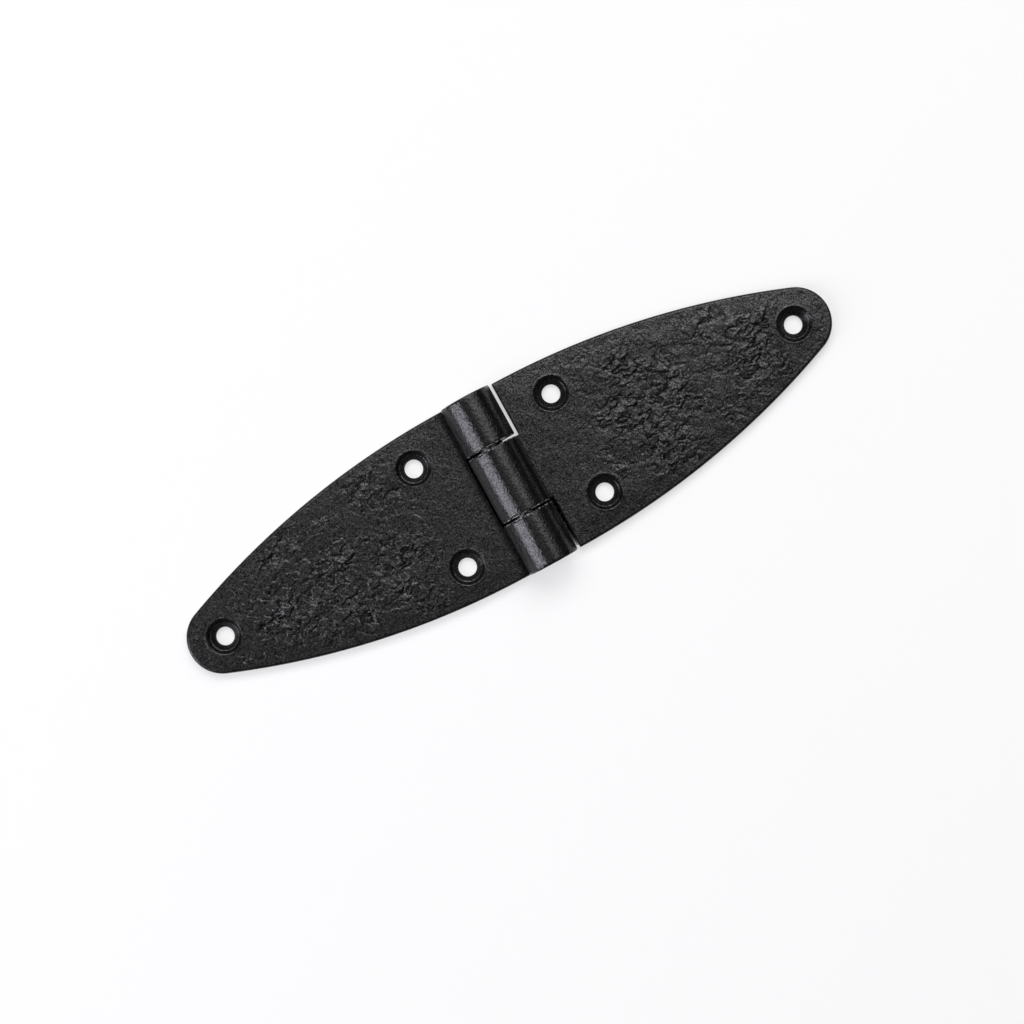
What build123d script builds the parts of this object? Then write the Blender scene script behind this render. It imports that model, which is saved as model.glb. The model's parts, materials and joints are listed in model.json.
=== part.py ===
"""Shutter hinge: two blanked steel leaves with rolled knuckles, turning on a swaged pin.

Units are millimetres. The hinge lies open on its back at Z = 0, with its front up, its length
along X and its pin along Y. The origin is on the back plane, below the middle of the pin.
"""

import math
import os

from build123d import *

# Leaves
leaf_reach = 66.0  # from the pin axis to the end of the nose
leaf_width = 33.8  # across the shoulders, which is also the length of the barrel
nose_radius = 6.6
sheet = 2.5  # thickness of the steel that each leaf is blanked and rolled from
rim_round = 0.5  # rounding of the front rim, left by the blanking die
rim_break = 0.2  # broken edge around the back and on the ends of the knuckles

# Barrel and pin
pin_diameter = 4.7
running_clearance = 0.05  # between pin and knuckle, on the radius
frame_notch = 0.15  # how far the frame leaf's shoulder stands clear of the barrel, seen from the front
shutter_notch = 0.6  # the same on the shutter leaf
middle_knuckle = 13.0  # length of the one knuckle between the other two
knuckle_gap = 0.4  # between neighbouring knuckles
seam_gap = 0.15  # between the end of a roll and the face of its own leaf
swage_length = 3.0  # how far the pin is swelled at each end to grip the outer knuckles
swage_taper = 0.8
pin_crown = 0.5  # height of the peened dome on each end of the pin

# Screw holes
screw_hole = 3.4
head_recess = 6.4  # countersink's diameter at the front face
head_angle = 90.0
pair_from_pin = 14.25
pair_from_side = 6.7
tip_from_nose = 7.0

# Sizes that follow from these
half_width = leaf_width / 2
bore_radius = pin_diameter / 2 + running_clearance
barrel_radius = bore_radius + sheet
outer_knuckle = half_width - middle_knuckle / 2 - knuckle_gap
roll_angle = 270 + math.degrees(math.asin((barrel_radius - sheet - seam_gap) / barrel_radius))
pin_axis = Axis((0, 0, barrel_radius), (0, 1, 0))

# A leaf is drawn on a plane whose X runs from the pin to the nose, and begins at its shoulder
shutter_side = Plane.XY
shutter_shoulder = barrel_radius + shutter_notch
frame_side = Plane.XY.rotated((0, 0, 180))
frame_shoulder = barrel_radius + frame_notch


def roll_knuckle(side, shoulder, start, length):
    """Sheet that runs on from the shoulder, goes under the pin and rolls back over it to the leaf."""
    section = Plane(side.from_local_coords((0, start, 0)), x_dir=side.x_dir, z_dir=-side.y_dir)
    with BuildSketch(section) as roll:
        with BuildLine():
            outside = CenterArc((0, barrel_radius), barrel_radius, -90, -roll_angle)
            inside = CenterArc((0, barrel_radius), bore_radius, -90, -roll_angle)
            Line(outside @ 1, inside @ 1)
            Polyline(outside @ 0, (shoulder, 0), (shoulder, sheet), inside @ 0)
        make_face()
    extrude(roll.sketch, amount=-length)


def break_knuckle_ends():
    """Small chamfer around the ends of the knuckles, which runs on along the back of the leaf."""
    rounds = edges().filter_by(GeomType.CIRCLE)
    chamfer(rounds.filter_by(lambda edge: math.isclose(edge.radius, barrel_radius)), length=rim_break)


def blank_leaf(side, shoulder):
    """Flat of a leaf, from its shoulder to its nose, with a rounded front rim. Each side is one long arc,
    square to the shoulder and tangent to the round nose."""
    side_run = leaf_reach - nose_radius - shoulder
    side_radius = (side_run**2 + half_width**2 - nose_radius**2) / (2 * (half_width - nose_radius))
    side_share = side_radius / (side_radius - nose_radius)
    side_end = (shoulder + side_run * side_share, (side_radius - half_width) * (side_share - 1))
    with BuildSketch(side) as flat:
        with BuildLine():
            upper_side = TangentArc((shoulder, half_width), side_end, tangent=(1, 0))
            mirror(about=Plane.XZ)
            TangentArc(upper_side @ 1, (side_end[0], -side_end[1]), tangent=upper_side % 1)
            Line((shoulder, half_width), (shoulder, -half_width))
        make_face()
    extrude(flat.sketch, amount=sheet)
    front = faces().sort_by(Axis.Z)[-1]
    fillet(front.edges().filter_by(GeomType.CIRCLE), radius=rim_round)


def sink_screw_holes(side):
    """Countersunk holes from the front: a pair at the shoulder and one in the nose."""
    pair_y = half_width - pair_from_side
    tip_x = leaf_reach - tip_from_nose
    with Locations(side.offset(sheet)):
        with Locations((pair_from_pin, pair_y), (pair_from_pin, -pair_y), (tip_x, 0)):
            CounterSinkHole(screw_hole / 2, head_recess / 2, counter_sink_angle=head_angle)


with BuildPart() as frame_leaf:
    blank_leaf(frame_side, frame_shoulder)
    roll_knuckle(frame_side, frame_shoulder, half_width - outer_knuckle, outer_knuckle)
    roll_knuckle(frame_side, frame_shoulder, -half_width, outer_knuckle)
    break_knuckle_ends()
    sink_screw_holes(frame_side)
frame_leaf.part.label = "frame_leaf"

with BuildPart() as shutter_leaf:
    blank_leaf(shutter_side, shutter_shoulder)
    roll_knuckle(shutter_side, shutter_shoulder, -middle_knuckle / 2, middle_knuckle)
    break_knuckle_ends()
    sink_screw_holes(shutter_side)
shutter_leaf.part.label = "shutter_leaf"

with BuildPart() as hinge_pin:
    pin_radius = pin_diameter / 2
    swage_end = half_width - swage_length
    crown_foot = half_width - pin_crown
    with BuildSketch(Plane(pin_axis.position, x_dir=pin_axis.direction, z_dir=(1, 0, 0))):
        with BuildLine():
            swell = Polyline(
                (0, pin_radius),
                (swage_end - swage_taper, pin_radius),
                (swage_end, bore_radius),
                (crown_foot, bore_radius),
            )
            TangentArc((half_width, 0), swell @ 1, tangent=(0, 1))
            mirror(about=Plane.YZ)
            Line((half_width, 0), (-half_width, 0))
        make_face()
    revolve(axis=pin_axis)
hinge_pin.part.label = "hinge_pin"

os.makedirs("parts", exist_ok=True)
for piece in (frame_leaf, shutter_leaf, hinge_pin):
    export_step(piece.part, f"parts/{piece.part.label}.step")
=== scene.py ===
import json
import math
from collections import namedtuple

import bpy
import numpy as np
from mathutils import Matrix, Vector
from mathutils.geometry import delaunay_2d_cdt


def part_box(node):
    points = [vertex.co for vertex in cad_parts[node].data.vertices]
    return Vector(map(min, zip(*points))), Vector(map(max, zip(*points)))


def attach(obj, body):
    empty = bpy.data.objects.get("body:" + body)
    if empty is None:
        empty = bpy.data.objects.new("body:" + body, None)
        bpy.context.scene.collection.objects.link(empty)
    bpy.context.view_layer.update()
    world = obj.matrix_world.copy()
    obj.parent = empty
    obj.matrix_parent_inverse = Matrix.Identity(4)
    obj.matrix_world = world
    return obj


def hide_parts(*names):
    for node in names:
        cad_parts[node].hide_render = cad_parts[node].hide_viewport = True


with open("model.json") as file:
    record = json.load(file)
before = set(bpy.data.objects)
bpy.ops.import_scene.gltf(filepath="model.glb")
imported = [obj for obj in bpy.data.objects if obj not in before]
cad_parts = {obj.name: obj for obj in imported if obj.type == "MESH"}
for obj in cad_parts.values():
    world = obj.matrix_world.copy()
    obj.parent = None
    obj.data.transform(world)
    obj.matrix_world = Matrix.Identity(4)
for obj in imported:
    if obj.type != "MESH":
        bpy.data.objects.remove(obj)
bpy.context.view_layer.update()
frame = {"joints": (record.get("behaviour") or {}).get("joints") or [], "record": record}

# Frame leaf
# The leaf that is screwed to the window frame: a blank of 2.5 mm steel with a slate-like relief pressed into
# its front, countersunk for three screws. Its two tongues are rolled back over the pin as the outer knuckles.
MM = 0.001
BARREL = frame["joints"][0]["pos_m"][2]  # the barrel lies on the back plane, so this is its radius
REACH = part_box("shutter_leaf")[1].x
HALF_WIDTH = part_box("shutter_leaf")[1].y
SHEET = 2.5 * MM
NOSE = 6.6 * MM
NOSE_CENTRE = REACH - NOSE
SIDE_FROM = BARREL + 0.6 * MM  # the sides run straight up to here, and then bend in towards the nose
SIDE_RUN = NOSE_CENTRE - SIDE_FROM
SIDE_RADIUS = (SIDE_RUN**2 + HALF_WIDTH**2 - NOSE**2) / (2 * (HALF_WIDTH - NOSE))
SIDE_TURN = math.asin(SIDE_RUN / (SIDE_RADIUS - NOSE))  # how far each side bends before it meets the nose
SEAM = 0.15 * MM  # between the end of a roll and the front of its own leaf
ROLL_TURN = 1.5 * math.pi + math.asin((BARREL - SHEET - SEAM) / BARREL)
TONGUE_END = -BARREL * ROLL_TURN  # developed length, measured on the outside of the roll

# A blank is told by where its shoulder stands, by the edge between its tongues and its notches, by whether
# the tongues lie outside that edge (1) or between its two sides (-1), by the ledge in its countersinks, and
# by how far out from the barrel its gloss is darkened as painted shade in the crease.
Blank = namedtuple("Blank", "shoulder tongue outside ledge crease")
FRAME_BLANK = Blank(
    shoulder=BARREL + 0.15 * MM,
    tongue=6.9 * MM,
    outside=1,
    ledge=0.14 * MM,
    crease=1.5 * MM,
)

mounts = {mount["name"]: mount for mount in frame["record"]["mounts"]}
pair_along = abs(mounts["frame_leaf_screw_pair"]["pos_m"][0])
pair_across = mounts["frame_leaf_screw_pair"]["dims"]["spacing_y_mm"] * MM / 2
nose_along = abs(mounts["frame_leaf_nose_screw"]["pos_m"][0])
SCREWS = np.array([(pair_along, pair_across), (pair_along, -pair_across), (nose_along, 0.0)])
SCREW_HOLE = mounts["frame_leaf_nose_screw"]["dims"]["r_mm"] * MM


def smooth(low, high, value):
    """Smooth step from 0 at low to 1 at high, level at both ends."""
    share = np.clip((value - low) / (high - low), 0, 1)
    return share * share * (3 - 2 * share)


WANDER_CELLS = 256  # a noise repeats after so many cells


def wander(along, across, cell, seed):
    """Gradient noise: every corner of a square cell has a random slope, and the four slopes are blended
    across the cell by a quintic fade."""
    turn = np.random.default_rng(seed).uniform(0, 2 * np.pi, (WANDER_CELLS, WANDER_CELLS))
    u, v = along / cell, across / cell
    i, j = np.floor(u).astype(int), np.floor(v).astype(int)
    fu, fv = u - i, v - j

    def corner(di, dj):
        angle = turn[(i + di) % WANDER_CELLS, (j + dj) % WANDER_CELLS]
        return np.cos(angle) * (fu - di) + np.sin(angle) * (fv - dj)

    su, sv = (f**3 * (f * (6 * f - 15) + 10) for f in (fu, fv))
    near = corner(0, 0) * (1 - su) + corner(1, 0) * su
    far = corner(0, 1) * (1 - su) + corner(1, 1) * su
    return near * (1 - sv) + far * sv


def fractal(along, across, cell, octaves, seed):
    """Sum of noises, each with half the cell and half the height of the one before."""
    return sum(wander(along, across, cell / 2**k, seed + k) / 2**k for k in range(octaves))


SCATTER_CELLS = 128  # the scattered points repeat after so many cells
SCATTER_SHIFT = 0.48  # how far a point may lie from the middle of its cell, in cells


def split_faces(along, across, cell, step, tilt, seed):
    """Flat faces of split stone: the sheet is shared out among scattered points, each place going to the
    nearest, and every share is a plane with a random height up to the step and a random slope up to the
    tilt."""
    scatter = np.random.default_rng(seed).uniform(-1, 1, (5, SCATTER_CELLS, SCATTER_CELLS))
    u, v = along / cell, across / cell
    i, j = np.floor(u).astype(int), np.floor(v).astype(int)
    nearest = np.full(u.shape, np.inf)
    height = np.zeros(u.shape)
    for di, dj in np.ndindex(3, 3):
        around = scatter[:, (i + di - 1) % SCATTER_CELLS, (j + dj - 1) % SCATTER_CELLS]
        shift_u, shift_v, level, slope_u, slope_v = around
        from_u = u - (i + di - 0.5 + SCATTER_SHIFT * shift_u)
        from_v = v - (j + dj - 0.5 + SCATTER_SHIFT * shift_v)
        distance = np.hypot(from_u, from_v)
        face = step * level + tilt * cell * (slope_u * from_u + slope_v * from_v)
        height = np.where(distance < nearest, face, height)
        nearest = np.minimum(distance, nearest)
    return height


BEND = 0.9 * MM  # about how far the stone's edges stray from straight lines
BEND_CELL = 2.0 * MM
FLAKE_CELL = 2.6 * MM
FLAKE_STEP = 0.08 * MM
FLAKE_TILT = 0.10
CHIP_CELL = 1.0 * MM
CHIP_STRETCH = 1.3  # how much longer a chip is than wide
CHIP_STEP = 0.045 * MM
CHIP_TILT = 0.14
CRACK_CELL = 3.4 * MM
CRACK_DEPTH = 0.16 * MM
CRACK_WIDTH = 0.13 * MM
NUDGE = 0.02 * MM  # step over which a slope is measured
LEAST_RISE = 1e-6  # keeps the distance to a crack finite where the noise is level


def slate(along, across, seed):
    """Relief of split stone, in metres, read at a position that is first bent by a noise of its own: large
    flakes, small chips on them, and cracks of even width along the zero line of a noise, whose height over
    its slope is the distance to that line. The second result is 1 in the middle of a crack and falls to 0
    beside it."""
    bent_along = along + BEND * fractal(along, across, BEND_CELL, 3, seed + 10)
    bent_across = across + BEND * fractal(along, across, BEND_CELL, 3, seed + 20)
    flakes = split_faces(bent_along, bent_across, FLAKE_CELL, FLAKE_STEP, FLAKE_TILT, seed + 30)
    chips = split_faces(bent_along / CHIP_STRETCH, bent_across, CHIP_CELL, CHIP_STEP, CHIP_TILT, seed + 40)

    def crack_noise(along, across):
        return fractal(along, across, CRACK_CELL, 2, seed + 50)

    line = crack_noise(bent_along, bent_across)
    rise_along = crack_noise(bent_along + NUDGE, bent_across) - line
    rise_across = crack_noise(bent_along, bent_across + NUDGE) - line
    distance = line * NUDGE / (np.hypot(rise_along, rise_across) + LEAST_RISE)
    cracks = np.exp(-((distance / CRACK_WIDTH) ** 2))
    return flakes + chips - CRACK_DEPTH * cracks, cracks


def rim_distance(along, across):
    """Distance in from the leaf's long sides and nose: two arcs that run into the round nose at a tangent,
    and run on straight below the shoulder."""
    side = np.abs(across)
    past = np.maximum(along - SIDE_FROM, 0)
    from_side = SIDE_RADIUS - np.hypot(past, side + SIDE_RADIUS - HALF_WIDTH)
    from_nose = NOSE - np.hypot(along - NOSE_CENTRE, across)
    in_nose = math.sin(SIDE_TURN) * side < math.cos(SIDE_TURN) * (along - NOSE_CENTRE)
    return np.where(in_nose, from_nose, from_side)


def notch_distance(along, across, blank):
    """Distance from the notches beside the tongues: a quarter plane below the shoulder, on the other side of
    the tongue's edge."""
    beside = np.maximum(blank.outside * (np.abs(across) - blank.tongue), 0)
    return np.hypot(np.maximum(along - blank.shoulder, 0), beside)


def screw_distance(points):
    """Distance from each point to the nearest screw's axis."""
    return np.hypot(*(points[:, None, :] - SCREWS[None, :, :]).transpose(2, 0, 1)).min(1)


def run(corners, step):
    """Evenly spaced points along straight runs from corner to corner, without the last corner."""
    stretches = []
    for start, end in zip(corners[:-1], corners[1:]):
        count = max(1, round(math.dist(start, end) / step))
        stretches.append(np.linspace(start, end, count, endpoint=False))
    return np.concatenate(stretches)


def bow(centre, radius, start, end, step):
    """Evenly spaced points on an arc from one angle to another, without the last point."""
    count = max(3, round(abs(end - start) * radius / step))
    angle = np.linspace(start, end, count, endpoint=False)
    return np.stack((centre[0] + radius * np.cos(angle), centre[1] + radius * np.sin(angle)), 1)


EDGE_STEP = 0.26 * MM  # spacing of points along the outline


def blank_outline(blank):
    """Closed outline of the flat blank, anticlockwise: lower side, nose, upper side, then the shoulder with
    its tongues at their developed length."""
    quarter = math.pi / 2
    side_centre = SIDE_RADIUS - HALF_WIDTH
    lower = bow((SIDE_FROM, side_centre), SIDE_RADIUS, -quarter, SIDE_TURN - quarter, EDGE_STEP)
    nose = bow((NOSE_CENTRE, 0), NOSE, SIDE_TURN - quarter, quarter - SIDE_TURN, EDGE_STEP)
    upper = bow((SIDE_FROM, -side_centre), SIDE_RADIUS, quarter - SIDE_TURN, quarter, EDGE_STEP)
    half = [(TONGUE_END, blank.tongue), (blank.shoulder, blank.tongue)]
    if blank.outside > 0:
        half = [(SIDE_FROM, HALF_WIDTH), (TONGUE_END, HALF_WIDTH)] + half
    else:
        half = [(blank.shoulder, HALF_WIDTH)] + half[::-1]
    root = half + [(along, -across) for along, across in half[::-1]]
    return np.concatenate((lower, nose, upper, run(root, EDGE_STEP)))


def staggered(low, high, step):
    """Points of a triangular grid that fills a box."""
    rows = np.arange(low[1], high[1], step * math.sqrt(0.75))
    columns = np.arange(low[0], high[0], step)
    along = columns[None, :] + (np.arange(len(rows)) % 2)[:, None] * step / 2
    across = np.broadcast_to(rows[:, None], along.shape)
    return np.stack((along.ravel(), across.ravel()), 1)


ROLL_FROM = BARREL - 0.6 * MM  # the grid of the flat begins here, under the barrel
GRID_GAP = 0.1 * MM  # between the grids of the flat and of the roll
ROW_SLACK = 0.08  # a point of a row is dropped if its offset is out by more than this share
HOLE_POINTS = 72
TRIANGLES_INSIDE = 1  # what the triangulation returns: the triangles inside the outline
WELD_MM = 1e-7


def cut_blank(blank, steps, edge_rows, hole_rings):
    """Points and triangles of one face of the flat blank: its outline and holes, rows that follow them where
    the edges are rounded or sunk, and a triangular grid between. The outline and the holes come first, in the
    same order for every face, and their loops of point numbers are returned too."""
    def edge_distance(points):
        rim = rim_distance(points[:, 0], points[:, 1])
        notch = notch_distance(points[:, 0], points[:, 1], blank)
        return np.minimum(np.minimum(rim, notch), points[:, 0] - TONGUE_END)

    outline = blank_outline(blank)
    heading = np.roll(outline, -1, 0) - np.roll(outline, 1, 0)
    inward = np.stack((-heading[:, 1], heading[:, 0]), 1) / np.hypot(*heading.T)[:, None]
    rows = (outline + edge_rows[:, None, None] * inward).reshape(-1, 2)
    offset = np.repeat(edge_rows, len(outline))
    rows = rows[np.abs(edge_distance(rows) - offset) < ROW_SLACK * offset]

    round_hole = np.linspace(0, -2 * np.pi, HOLE_POINTS, endpoint=False)
    circle = np.stack((np.cos(round_hole), np.sin(round_hole)), 1)
    holes = SCREWS[:, None, :] + SCREW_HOLE * circle
    sunk = (SCREWS[:, None, None, :] + hole_rings[:, None, None] * circle).reshape(-1, 2)

    flat_step, roll_step = steps
    margin = min(steps) / 2
    flat_grid = staggered((ROLL_FROM, -HALF_WIDTH), (REACH, HALF_WIDTH), flat_step)
    roll_grid = staggered((TONGUE_END, -HALF_WIDTH), (ROLL_FROM - GRID_GAP, HALF_WIDTH), roll_step)
    grid = np.concatenate((flat_grid, roll_grid))
    grid = grid[edge_distance(grid) > edge_rows[-1] + margin]
    grid = grid[screw_distance(grid) > hole_rings[-1] + margin]

    points = np.concatenate((outline, holes.reshape(-1, 2), rows, sunk, grid))
    counts = [len(outline)] + [HOLE_POINTS] * len(SCREWS)
    starts = np.cumsum([0] + counts[:-1])
    loops = [np.arange(start, start + count) for start, count in zip(starts, counts)]
    edges = np.concatenate([np.stack((loop, np.roll(loop, -1)), 1) for loop in loops])
    corners = [Vector(point) for point in (points / MM).tolist()]
    flat = delaunay_2d_cdt(corners, edges.tolist(), [], TRIANGLES_INSIDE, WELD_MM, False)
    points = np.array(flat[0], float) * MM
    triangles = np.array(flat[2], int)
    middle = points[triangles].mean(1)
    in_sheet = (edge_distance(middle) > 0) & (screw_distance(middle) > SCREW_HOLE)
    return points, triangles[in_sheet], loops


def roll(along, across, height):
    """Carries a point of the sheet to its place: flat beyond the pin's axis, and wound round it below, where
    the distance along the sheet becomes an angle and the height above its back a depth in from the barrel."""
    angle = np.maximum(-along, 0) / BARREL
    radius = BARREL - height
    x = np.where(along > 0, along, -radius * np.sin(angle))
    z = np.where(along > 0, height, BARREL - radius * np.cos(angle))
    return np.stack((x, across, z), 1)


def rounded(distance, radius):
    """Drop of a quarter-round edge: the full radius at the edge, and nothing from one radius inwards."""
    inside = np.clip(radius - distance, 0, radius)
    return radius - np.sqrt(radius**2 - inside**2)


HEAD_RECESS = 3.2 * MM
RECESS_DEPTH = HEAD_RECESS - SCREW_HOLE
LEDGE_RADIUS = 2.64 * MM  # outer edge of the narrow ledge that the paint leaves half-way down
RECESS_RIM = 0.06 * MM  # softness of the countersink's rim
LIP_HEIGHT = 0.05 * MM  # of the lip that the cutter throws up round it
LIP_WIDTH = 0.16 * MM


def recess_depth(radius, ledge):
    """Depth of the countersink at a radius from the screw's axis: a cone with a softened rim and a low lip
    round it, which runs level over the width of the ledge and then a little steeper to the same depth."""
    upper = np.logaddexp(0, (HEAD_RECESS - radius) / RECESS_RIM) * RECESS_RIM
    ledge_depth = HEAD_RECESS - LEDGE_RADIUS
    slope = (RECESS_DEPTH - ledge_depth) / (LEDGE_RADIUS - ledge - SCREW_HOLE)
    lower = ledge_depth + np.maximum(LEDGE_RADIUS - ledge - radius, 0) * slope
    cone = np.where(radius < LEDGE_RADIUS, np.minimum(lower, np.maximum(upper, ledge_depth)), upper)
    return cone - LIP_HEIGHT * np.exp(-(((radius - HEAD_RECESS) / LIP_WIDTH - 1) ** 2))


# A pair of distances says where a fade begins and where it ends
RIM_ROUND = 0.5 * MM
NOTCH_ROUND = 0.3 * MM
ROUND_FADE = (2.5 * MM, 4.5 * MM)  # along the leaf, since the front isn't rounded inside the roll
CROWN = 0.15 * MM  # how far the front falls away towards the rim
CROWN_BAND = 4.5 * MM
CROWN_RUN = 4 * MM
PLAIN_ROUGH = 0.27  # strength of the relief outside the patches
PATCH_FALL = 0.7
PATCH_CELL = 5 * MM
PATCH_BREAK = 0.45  # how much a noise breaks up the patches
LEAST_ROUGH = 0.05
RELIEF_RIM = (0.4 * MM, 2.0 * MM)
RELIEF_SCREW = (3.6 * MM, 5.2 * MM)
RELIEF_BARREL = (12 * MM, 20 * MM)
SHORE = 4 * MM  # how far the relief's end towards the barrel strays
SHORE_CELL = 6 * MM
RIPPLE = 0.05 * MM  # unevenness of the whole front
RIPPLE_CELL = 3 * MM
RIPPLE_RIM = (0, 1.5 * MM)
RIPPLE_SCREW = (3.3 * MM, 4.5 * MM)
RIPPLE_RUN = 3 * MM
# Painted shade: the gloss is darkened in the crease along the barrel, where the barrel shades the leaf
CREASE_SHADE = 0.8
CREASE_CORE = 0.27  # share of the crease that has the full painted shade throughout


def front_height(points, blank, patches, seed):
    """Height of the front above the back: the sheet, less its rounded edges, its slight crown and the
    countersinks, plus the relief. Patches give the place, spread and strength of the roughest areas, and the
    relief fades out towards the rim, the screws and the barrel. The second result is painted shade: the share
    of crack, or of the crease along the barrel, where that is more, whose gloss is darkened as shade."""
    along, across = points.T
    rim = rim_distance(along, across)
    notch = notch_distance(along, across, blank)
    screw = screw_distance(points)

    rough = np.full(len(points), PLAIN_ROUGH)
    for patch_along, patch_across, spread, strength in patches:
        span = np.hypot(along - patch_along * MM, across - patch_across * MM) / (spread * MM)
        rough = np.maximum(rough, strength * np.exp(-PATCH_FALL * span**2))
    broken = rough + PATCH_BREAK * fractal(along, across, PATCH_CELL, 3, seed + 60)
    rough = smooth(0, 1, broken) + LEAST_ROUGH
    rough *= smooth(*RELIEF_RIM, rim) * smooth(*RELIEF_SCREW, screw)
    rough *= smooth(*RELIEF_BARREL, along + SHORE * fractal(along, across, SHORE_CELL, 2, seed + 70))
    flat = smooth(SIDE_FROM, SIDE_FROM + RIPPLE_RUN, along) * smooth(*RIPPLE_SCREW, screw)
    ripple = RIPPLE * fractal(along, across, RIPPLE_CELL, 3, seed + 80) * flat * smooth(*RIPPLE_RIM, rim)

    drop = np.maximum(rounded(rim, RIM_ROUND), rounded(notch, NOTCH_ROUND)) * smooth(*ROUND_FADE, along)
    crown = CROWN * (1 - smooth(0, CROWN_BAND, rim)) * smooth(SIDE_FROM, SIDE_FROM + CROWN_RUN, along)
    drop = drop + crown
    relief, cracks = slate(along, across, seed)
    height = SHEET - drop - recess_depth(screw, blank.ledge) + rough * relief + ripple
    core = BARREL + CREASE_CORE * blank.crease
    crease = CREASE_SHADE * (1 - smooth(core, BARREL + blank.crease, along))
    return height, np.maximum(rough * cracks, crease)


BACK_ROUND = 0.2 * MM
WEAR_DEPTH = 0.3 * MM  # of the dents on the edges of the knuckles, for a noise of 1
WEAR_CELL = 1.5 * MM
WEAR_SEED = 40
WEAR_ROLL = (-1 * MM, -3 * MM)  # along the sheet, which is below 0 on the roll
WEAR_BAND = 0.5 * MM
BARE_WEAR = (0.18, 0.32)
BARE_BAND = (0.08 * MM, 0.25 * MM)


def back_height(points, blank):
    """Height of the back above its plane: nothing but the broken edge around the outline and the holes, which
    is worn by a noise along the edges of the roll. The second result is 1 where that has bared the steel, on
    the edges that rub against the next knuckle."""
    along, across = points.T
    notch = notch_distance(along, across, blank)
    edge = np.minimum(np.minimum(rim_distance(along, across), notch), along - TONGUE_END)
    wear = np.abs(fractal(along, across, WEAR_CELL, 2, WEAR_SEED)) * smooth(*WEAR_ROLL, along)
    worn = WEAR_DEPTH * wear * (1 - smooth(0, WEAR_BAND, edge))
    bare = smooth(*BARE_WEAR, wear) * (1 - smooth(*BARE_BAND, notch))
    return rounded(np.minimum(edge, screw_distance(points) - SCREW_HOLE), BACK_ROUND) + worn, bare


def add_piece(name, points, polygons):
    """Smoothly shaded object with the given points and polygons."""
    mesh = bpy.data.meshes.new(name)
    mesh.from_pydata(points.tolist(), [], polygons)
    mesh.shade_smooth()
    mesh.update()
    piece = bpy.data.objects.new(name, mesh)
    bpy.context.scene.collection.objects.link(piece)
    return piece


FRONT_STEP = (0.17 * MM, 0.5 * MM)  # spacing of points on the flat and on the roll
FRONT_ROWS = np.array([0.03, 0.08, 0.14, 0.21, 0.30, 0.40, 0.52]) * MM
FRONT_RINGS = np.array([1.74, 1.86, 2.0, 2.2, 2.4, 2.5, 2.57, 2.64, 2.75, 2.9, 3.0, 3.1, 3.2, 3.3, 3.4]) * MM
BACK_STEP = (0.8 * MM, 0.3 * MM)
BACK_ROWS = np.array([0.02, 0.06, 0.12, 0.21, 0.34, 0.5]) * MM
BACK_RINGS = SCREW_HOLE + BACK_ROWS
WALL_EDGE = 0.05 * MM  # narrow strips along the walls' edges, which keep the shading of the walls even


def press_leaf(name, blank, towards, patches, seed):
    """Leaf made as the real one is: front and back are heights over the flat blank, joined by walls along
    every loop of its outline and holes, then rolled and turned to its side of the hinge. The mesh carries
    painted
    shade and wear: above 0 where the gloss of a crack or crease is darkened as painted shade, and below 0
    where the steel is bare."""
    front_points, front_triangles, loops = cut_blank(blank, FRONT_STEP, FRONT_ROWS, FRONT_RINGS)
    back_points, back_triangles, _ = cut_blank(blank, BACK_STEP, BACK_ROWS, BACK_RINGS)
    front, painted_shade = front_height(front_points, blank, patches, seed)
    back, bare = back_height(back_points, blank)
    count = len(front)
    places = [front_points, back_points]
    heights = [front, back]
    polygons = front_triangles.tolist() + (back_triangles[:, ::-1] + count).tolist()
    total = count + len(back)
    for loop in loops:
        size = len(loop)
        places += [front_points[loop], front_points[loop]]
        heights += [front[loop] - WALL_EDGE, back[loop] + WALL_EDGE]
        rows = [loop, total + np.arange(size), total + size + np.arange(size), loop + count]
        for upper, lower in zip(rows[:-1], rows[1:]):
            wall = np.stack((upper, lower, np.roll(lower, -1), np.roll(upper, -1)), 1)
            polygons += wall.tolist()
        total += 2 * size
    flat = np.concatenate(places)
    shape = roll(flat[:, 0], flat[:, 1], np.concatenate(heights)) * (towards, towards, 1)

    leaf = add_piece(name, shape, polygons)
    hollow = np.zeros(total, np.float32)
    hollow[:count] = painted_shade
    hollow[count:count + len(back)] = -bare
    leaf.data.attributes.new("hollow", "FLOAT", "POINT").data.foreach_set("value", hollow)
    return leaf


def feed(tree, value, socket):
    """Gives a socket its value, which is a number, a colour or what another node puts out."""
    if isinstance(value, bpy.types.NodeSocket):
        tree.links.new(value, socket)
    else:
        socket.default_value = value


def combine(tree, operation, first, second):
    """One value from two, such as their sum or product."""
    node = tree.nodes.new("ShaderNodeMath")
    node.operation = operation
    feed(tree, first, node.inputs[0])
    feed(tree, second, node.inputs[1])
    return node.outputs["Value"]


def vary(tree, value, start, end, low, high, blend="LINEAR"):
    """Carries a value from the range between start and end over to the one between low and high."""
    node = tree.nodes.new("ShaderNodeMapRange")
    node.interpolation_type = blend
    feed(tree, value, node.inputs["Value"])
    for name, bound in zip(("From Min", "From Max", "To Min", "To Max"), (start, end, low, high)):
        feed(tree, bound, node.inputs[name])
    return node.outputs["Result"]


GRAINS = 5400  # to a metre, as all scales of the paint are
GRAIN_BLACK = (0.001, 0.006)  # colour of the darkest and of the lightest grain
BARE_STEEL = 0.7
SPECULAR = 0.7
FLAT_GLOSS = (0.1, 1.0)  # of the dullest and of the glossiest grain
BARREL_GLOSS = (0.27, 0.83)
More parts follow.
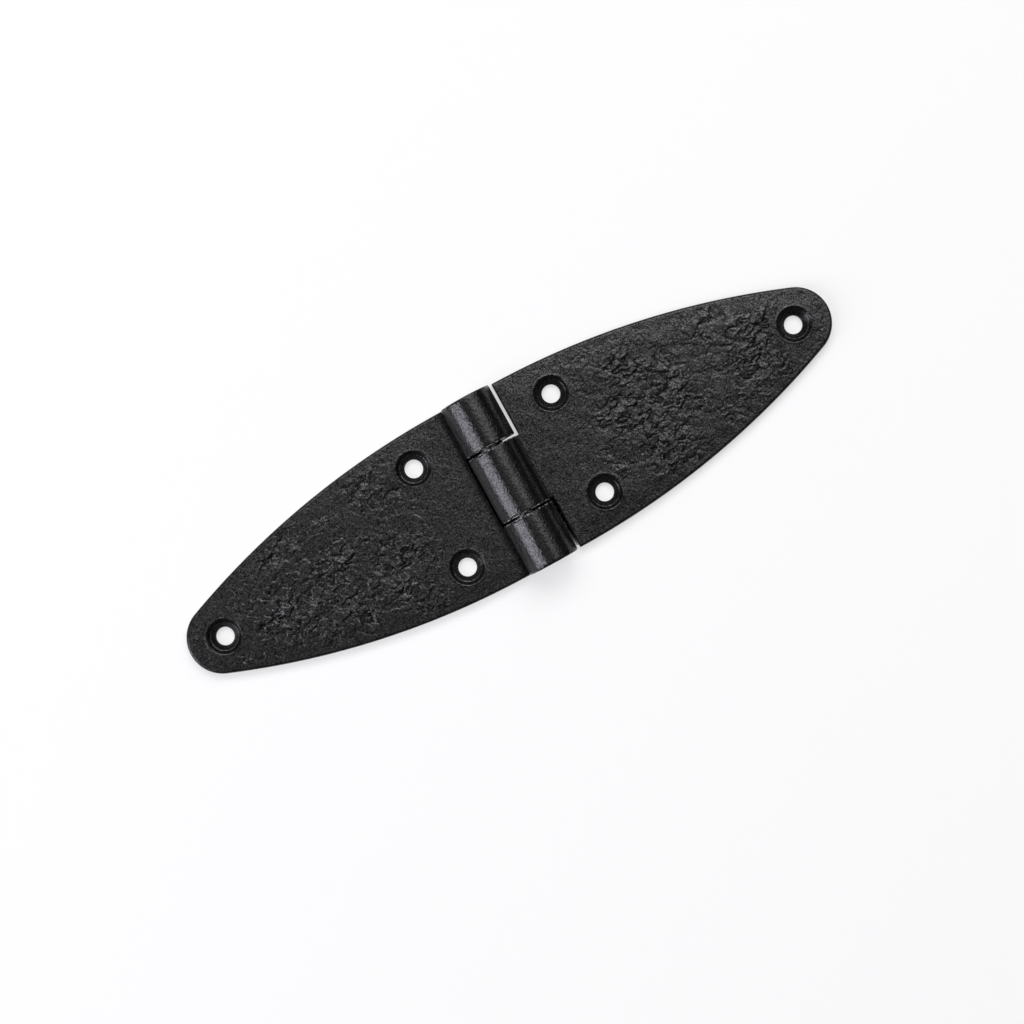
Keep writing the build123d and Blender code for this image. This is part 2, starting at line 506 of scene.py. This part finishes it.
# Painted shade in the cracks and the crease darkens the gloss down to this
SHADED_GLOSS = 0.3
FULL_SHADE = 0.7  # from this share of painted shade on, a crack or crease keeps no more than that gloss
CLOUDS = 900
ROUGHNESS = (0.17, 0.29)
FLAT_ROUGHNESS = 0.10  # added on the flats
FLAT_TOP = SHEET + 0.3 * MM  # what is higher than this begins to count as the barrel
BARREL_FOOT = SHEET + 1.0 * MM
PEEL = 2600
PEEL_DEPTH = 0.05 * MM


def black_paint():
    """Satin black stove paint: grains of unlike gloss, each a cell of its own, over a fine orange peel. Its
    gloss is darkened as painted shade in the cracks and in the crease along the barrel, and it shows bare
    steel where it has rubbed off. The barrel is glossier and more even than the flats."""
    paint = bpy.data.materials.new("black_paint")
    paint.use_nodes = True
    tree = paint.node_tree
    shader = tree.nodes["Principled BSDF"]
    place = tree.nodes.new("ShaderNodeTexCoord").outputs["Object"]

    def noise(scale, detail):
        texture = tree.nodes.new("ShaderNodeTexNoise")
        feed(tree, place, texture.inputs["Vector"])
        feed(tree, scale, texture.inputs["Scale"])
        feed(tree, detail, texture.inputs["Detail"])
        return texture.outputs["Fac"]

    height = tree.nodes.new("ShaderNodeSeparateXYZ")
    feed(tree, place, height.inputs["Vector"])

    def by_height(flat, barrel):
        return vary(tree, height.outputs["Z"], FLAT_TOP, BARREL_FOOT, flat, barrel)

    cells = tree.nodes.new("ShaderNodeTexVoronoi")
    feed(tree, place, cells.inputs["Vector"])
    feed(tree, GRAINS, cells.inputs["Scale"])
    colours = tree.nodes.new("ShaderNodeSeparateColor")
    feed(tree, cells.outputs["Color"], colours.inputs["Color"])
    grain = colours.outputs["Red"]
    marks = tree.nodes.new("ShaderNodeAttribute")
    marks.attribute_name = "hollow"
    hollow = marks.outputs["Fac"]

    black = vary(tree, grain, 0, 1, *GRAIN_BLACK)
    steel = vary(tree, hollow, -1, 0, BARE_STEEL, 0)
    feed(tree, combine(tree, "ADD", black, steel), shader.inputs["Base Color"])
    feed(tree, vary(tree, hollow, -1, 0, 1, 0), shader.inputs["Metallic"])

    lowest, highest = (by_height(flat, barrel) for flat, barrel in zip(FLAT_GLOSS, BARREL_GLOSS))
    gloss = vary(tree, grain, 0, 1, lowest, highest)
    # painted shade: the gloss is darkened in the cracks and in the crease along the barrel
    gloss_after_shade = vary(tree, hollow, 0, FULL_SHADE, 1, SHADED_GLOSS)
    feed(tree, SPECULAR, shader.inputs["Specular IOR Level"])
    feed(tree, combine(tree, "MULTIPLY", gloss, gloss_after_shade), shader.inputs["Specular Tint"])

    clouds = vary(tree, noise(CLOUDS, detail=3), 0, 1, *ROUGHNESS)
    feed(tree, combine(tree, "ADD", clouds, by_height(FLAT_ROUGHNESS, 0)), shader.inputs["Roughness"])

    peel = tree.nodes.new("ShaderNodeBump")
    feed(tree, 1, peel.inputs["Strength"])
    feed(tree, PEEL_DEPTH, peel.inputs["Distance"])
    feed(tree, noise(PEEL, detail=1), peel.inputs["Height"])
    feed(tree, peel.outputs["Normal"], shader.inputs["Normal"])
    return paint


paint = black_paint()
# Each rough patch has its place along and across the leaf and its spread, in millimetres, and its strength
FRAME_ROUGH = (
    (24, -11, 4.3, 0.8),
    (25, 4, 5.0, 1.0),
    (19, 7, 2.3, 0.7),
    (25, 8, 3.1, 0.9),
    (36, -1, 4.3, 1.0),
    (41, -10, 3.5, 0.8),
    (45, -8, 3.1, 0.8),
    (47, 2, 5.8, 0.9),
    (36, 7, 4.7, 0.9),
)
frame_leaf = press_leaf("frame_leaf_painted", FRAME_BLANK, towards=-1, patches=FRAME_ROUGH, seed=300)
frame_leaf.data.materials.append(paint)
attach(frame_leaf, "frame_side")
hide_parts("frame_leaf")

# Shutter leaf
# The leaf that is screwed to the shutter, from the same blank with one tongue in the middle, which is rolled
# into the middle knuckle and turns on the pin between the other two.
SHUTTER_BLANK = Blank(
    shoulder=BARREL + 0.6 * MM,
    tongue=6.5 * MM,
    outside=-1,
    ledge=0.07 * MM,
    crease=0.4 * MM,
)
SHUTTER_ROUGH = (
    (27, 8, 3.5, 1.0),
    (33, 1, 5.2, 1.0),
    (24, 0, 4.5, 0.9),
    (28, -7, 5.2, 0.9),
    (36, -3, 3.5, 0.9),
    (45, 8, 2.8, 0.8),
    (51, 1, 6.0, 0.8),
    (52, -3, 4.2, 0.8),
)
shutter_leaf = press_leaf("shutter_leaf_painted", SHUTTER_BLANK, towards=1, patches=SHUTTER_ROUGH, seed=700)
shutter_leaf.data.materials.append(paint)
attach(shutter_leaf, "shutter_side")
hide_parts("shutter_leaf")

# Hinge pin
# A steel rod through all three knuckles, swelled at both ends to grip the outer ones. A small hammer has
# peened each end to a low dome with shallow dents, and it is painted with the barrel.
PIN_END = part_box("hinge_pin")[1].y
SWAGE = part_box("hinge_pin")[1].x
SHANK = SWAGE - 0.05 * MM
SWAGE_FROM = PIN_END - 3.8 * MM
SWAGE_TO = PIN_END - 3.0 * MM
DOME = 0.5 * MM
DOME_RADIUS = (SWAGE**2 + DOME**2) / (2 * DOME)
DOME_TIP = 0.004  # angle from the axis at which the last small face closes the dome
DOME_RINGS = 28
PIN_POINTS = 96  # round the pin
DENT = 0.10 * MM
DENT_CELL = 1.6 * MM
DENT_SEED = 900
DENT_FADE = 0.12 * MM  # the dents are full from so far up the dome
END_SHIFT = 9 * MM  # keeps apart the places where the two ends read the noise


def turn_pin(name):
    """Half profile of shank, swelled end and dome, mirrored and turned about the axis. The dents lower the
    dome by the absolute value of a noise that is read across the pin's end."""
    swell = np.linspace(math.asin(SWAGE / DOME_RADIUS), DOME_TIP, DOME_RINGS)
    dome_along = PIN_END - DOME_RADIUS * (1 - np.cos(swell))
    half_along = np.concatenate(([SWAGE_FROM, SWAGE_TO], dome_along))
    half_radius = np.concatenate(([SHANK, SWAGE], DOME_RADIUS * np.sin(swell)))
    along = np.concatenate((-half_along[::-1], half_along))[:, None]
    radius = np.concatenate((half_radius[::-1], half_radius))[:, None]
    turn = np.linspace(0, 2 * np.pi, PIN_POINTS, endpoint=False)[None, :]
    x = radius * np.cos(turn)
    z = radius * np.sin(turn)
    side = np.sign(along)
    dents = DENT * np.abs(fractal(x + END_SHIFT * side, z, DENT_CELL, 2, DENT_SEED))
    y = along - side * dents * smooth(0, DENT_FADE, np.abs(along) - PIN_END + DOME)
    points = np.stack((x, y, z + BARREL), 2).reshape(-1, 3)

    numbers = np.arange(len(points)).reshape(-1, PIN_POINTS)
    near, far = numbers[:-1], numbers[1:]
    quads = np.stack((near, far, np.roll(far, -1, 1), np.roll(near, -1, 1)), 2).reshape(-1, 4)
    ends = [numbers[0].tolist(), numbers[-1, ::-1].tolist()]
    return add_piece(name, points, quads.tolist() + ends)


pin = turn_pin("hinge_pin_peened")
pin.data.materials.append(paint)
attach(pin, "frame_side")
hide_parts("hinge_pin")

# Studio
# A white table under soft boxes, seen from straight above, with the hinge across the picture. The table has a
# sheet of its own under the barrel with a painted shadow, which keeps the narrow gaps beside the knuckles
# dark.


def soft_box(name, azimuth, tilt, distance, size, radiance, colour):
    """Rectangular light that faces the hinge from an azimuth about it, tilted down from overhead. Its power
    is its radiance times its area times pi."""
    light = bpy.data.lights.new(name, "AREA")
    light.shape = "RECTANGLE"
    light.size, light.size_y = size
    light.energy = radiance * math.pi * size[0] * size[1]
    light.color = colour
    turn, lean = math.radians(azimuth), math.radians(tilt)
    aim = Vector((math.cos(turn) * math.sin(lean), math.sin(turn) * math.sin(lean), math.cos(lean)))
    lamp = bpy.data.objects.new(name, light)
    lamp.location = aim * distance
    lamp.rotation_euler = aim.to_track_quat("Z", "Y").to_euler()
    lamp.visible_camera = False
    bpy.context.scene.collection.objects.link(lamp)


NEUTRAL = (1.0, 1.0, 1.0)
BLUISH = (0.92, 0.905, 1.0)
soft_box("left_box", azimuth=180, tilt=55.5, distance=1.0, size=(0.34, 0.88), radiance=7.4, colour=BLUISH)
soft_box("right_box", azimuth=36, tilt=32, distance=1.2, size=(0.85, 1.0), radiance=2.5, colour=NEUTRAL)
soft_box("top_box", azimuth=80, tilt=33, distance=1.2, size=(1.0, 0.5), radiance=4.0, colour=NEUTRAL)
soft_box("overhead_strip", azimuth=150, tilt=4, distance=1.2, size=(0.9, 0.3), radiance=0.62, colour=NEUTRAL)

WHITE = 0.91
GLOW = 0.55  # share of the table's look that is its own light
TABLE_ROUGHNESS = 0.9
SKY_REACH = 20 * MM  # what stands nearer than this shuts the table in
SHUT_IN = 0.2  # share of open sky at which the painted shadow is black
OPEN = 0.4  # share at which it is white
SKY_SAMPLES = 16


def white_table(name, painted_shadow):
    """White that partly glows to the eye and in reflections, and otherwise takes light and shadow. One with a
    painted shadow neither glows nor is white where the hinge shuts it in: there it is painted dark as shade."""
    table = bpy.data.materials.new(name)
    table.use_nodes = True
    tree = table.node_tree
    shader = tree.nodes["Principled BSDF"]
    feed(tree, (WHITE, WHITE, WHITE, 1), shader.inputs["Base Color"])
    feed(tree, TABLE_ROUGHNESS, shader.inputs["Roughness"])
    feed(tree, 0, shader.inputs["Specular IOR Level"])

    sight = tree.nodes.new("ShaderNodeLightPath").outputs
    seen = combine(tree, "MAXIMUM", sight["Is Camera Ray"], sight["Is Glossy Ray"])
    seen = combine(tree, "MAXIMUM", seen, sight["Is Transmission Ray"])
    share = combine(tree, "MULTIPLY", seen, GLOW)
    # painted shadow: colour and glow go dark where an occlusion test finds the hinge close
    if painted_shadow:
        sky = tree.nodes.new("ShaderNodeAmbientOcclusion")
        sky.samples = SKY_SAMPLES
        feed(tree, SKY_REACH, sky.inputs["Distance"])
        unshaded = vary(tree, sky.outputs["AO"], SHUT_IN, OPEN, 0, 1, "SMOOTHSTEP")
        feed(tree, combine(tree, "MULTIPLY", unshaded, WHITE), shader.inputs["Base Color"])
        share = combine(tree, "MULTIPLY", share, unshaded)

    glow = tree.nodes.new("ShaderNodeEmission")
    mix = tree.nodes.new("ShaderNodeMixShader")
    feed(tree, share, mix.inputs["Fac"])
    feed(tree, shader.outputs["BSDF"], mix.inputs[1])
    feed(tree, glow.outputs["Emission"], mix.inputs[2])
    feed(tree, mix.outputs["Shader"], tree.nodes["Material Output"].inputs["Surface"])
    return table


def lay_sheet(name, corners, height, painted_shadow):
    """Flat sheet of the table between the given corners."""
    mesh = bpy.data.meshes.new(name)
    mesh.from_pydata([(x, y, height) for x, y in corners], [], [range(len(corners))])
    mesh.materials.append(white_table(name, painted_shadow))
    sheet = bpy.data.objects.new(name, mesh)
    bpy.context.scene.collection.objects.link(sheet)


FLOOR = 12.0
whole_floor = [(-FLOOR, -FLOOR), (FLOOR, -FLOOR), (FLOOR, FLOOR), (-FLOOR, FLOOR)]
lay_sheet("table", whole_floor, height=0, painted_shadow=False)

# The sheet of painted shadow under the barrel ends short of the upper knuckle gap, and past it on the frame
# leaf's side
side = BARREL + 0.75 * MM
foot = 0.5 * MM - HALF_WIDTH
low_top = 6.1 * MM
high_top = 8.5 * MM
lift = 0.01 * MM  # clear of the table
shadow_sheet_corners = [(-side, foot), (side, foot), (side, low_top), (0, low_top), (0, high_top), (-side, high_top)]
lay_sheet("table_under_barrel", shadow_sheet_corners, height=lift, painted_shadow=True)

ROOM_LIGHT = 0.05
world = bpy.data.worlds.new("room")
bpy.context.scene.world = world
world.use_nodes = True
room = world.node_tree.nodes["Background"]
room.inputs["Color"].default_value = (1, 1, 1, 1)
room.inputs["Strength"].default_value = ROOM_LIGHT

CAMERA_HEIGHT = 400 * MM
CAMERA_NEAR = 10 * MM  # nothing nearer to the camera than this is drawn
SENSOR = 36.0
PICTURE_SIDE = 1024
PIXELS_PER_MM = 5.51
HINGE_PIXEL = (509.3, 480.3)
HINGE_SLANT = math.radians(28.73)
camera_data = bpy.data.cameras.new("camera")
camera_data.sensor_width = SENSOR
camera_data.lens = PIXELS_PER_MM * CAMERA_HEIGHT / MM * SENSOR / PICTURE_SIDE
camera_data.clip_start = CAMERA_NEAR
camera = bpy.data.objects.new("camera", camera_data)
picture_right = Vector((math.cos(HINGE_SLANT), -math.sin(HINGE_SLANT), 0))
picture_up = Vector((math.sin(HINGE_SLANT), math.cos(HINGE_SLANT), 0))
off_right = (PICTURE_SIDE / 2 - HINGE_PIXEL[0]) / PIXELS_PER_MM * MM
off_up = (HINGE_PIXEL[1] - PICTURE_SIDE / 2) / PIXELS_PER_MM * MM
camera.location = picture_right * off_right + picture_up * off_up + Vector((0, 0, CAMERA_HEIGHT + SHEET))
camera.rotation_euler = (0, 0, -HINGE_SLANT)
bpy.context.scene.collection.objects.link(camera)
bpy.context.scene.camera = camera
bpy.context.scene.view_settings.view_transform = "Standard"
